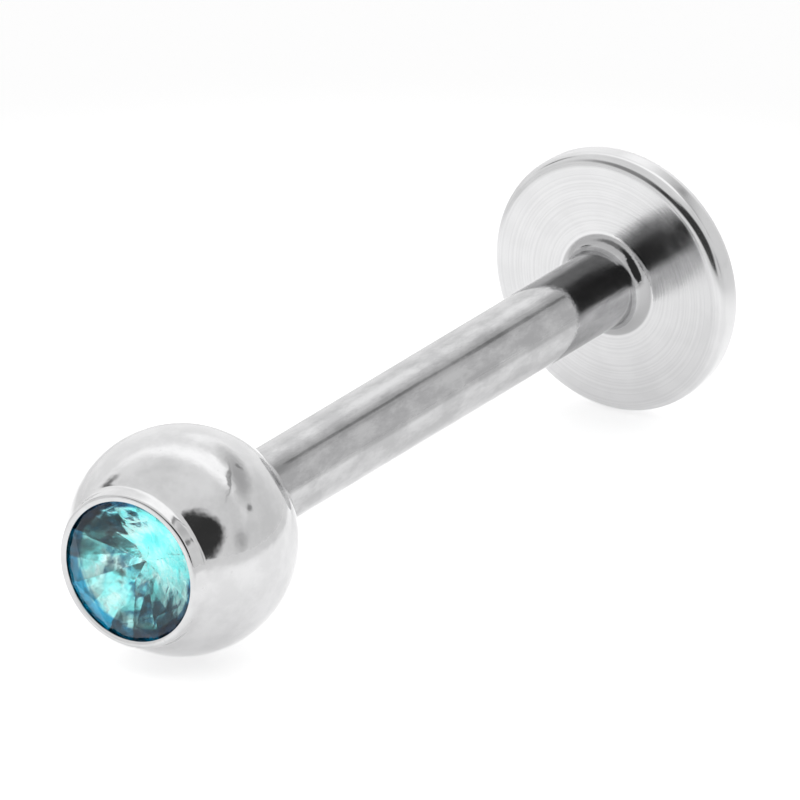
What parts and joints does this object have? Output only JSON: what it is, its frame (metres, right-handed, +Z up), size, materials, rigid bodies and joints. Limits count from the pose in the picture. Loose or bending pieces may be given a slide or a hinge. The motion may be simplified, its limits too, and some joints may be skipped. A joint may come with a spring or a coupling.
{
  "type": "labret stud",
  "caption": "Straight bar with a flat round disc at one end and a screw-on ball at the other, set with a faceted aqua stone in a raised rim.",
  "frame": {"origin": "on the surface that the stud lies on, under the middle of its box", "axes": "+Y along the bar towards the disc, +Z up; the bar's own axis falls 1.58 degrees towards the ball"},
  "size_m": [0.004, 0.0138, 0.0041],
  "materials": {
    "turned_steel": "drawn bar and turned disc, lightly polished",
    "polished_steel": "mirror polished",
    "aqua_glass": "cut and polished, foil at the back"
  },
  "bodies": {
    "post": {"disc_post": "turned_steel"},
    "ball": {"bezel_ball": "polished_steel", "cut_stone": "aqua_glass"}
  },
  "joints": [
    {"name": "ball_unscrew", "type": "slide", "parent": "post", "child": "ball", "axis": [0, -0.9996, -0.0275], "range_m": [0, 0.006]}
  ]
}
